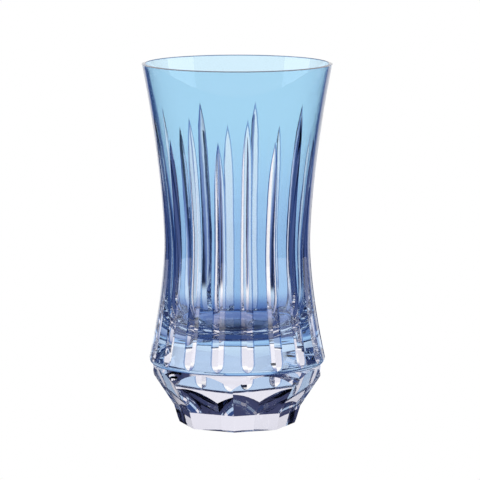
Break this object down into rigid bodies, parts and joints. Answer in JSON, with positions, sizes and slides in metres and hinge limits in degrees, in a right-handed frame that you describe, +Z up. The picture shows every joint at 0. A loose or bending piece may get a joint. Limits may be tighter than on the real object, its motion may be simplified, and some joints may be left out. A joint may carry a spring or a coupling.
{
  "type": "cut crystal vase",
  "caption": "Tall waisted vase of clear crystal cased outside in sky blue, cut with upright flutes of two lengths, on a heavy clear faceted foot.",
  "frame": {"origin": "middle of the standing face, on the vase's axis", "axes": "+Z up along the axis to the rim; -Y to the front, where a corner of the foot and a stave between two flutes face"},
  "size_m": [0.131, 0.131, 0.25],
  "materials": {
    "crystal": "polished clear crystal",
    "blue_glass": "polished transparent sky blue casing"
  },
  "bodies": {
    "root": {"blue_casing": "blue_glass", "crystal_bowl": "crystal", "cut_foot": "crystal"}
  },
  "joints": []
}
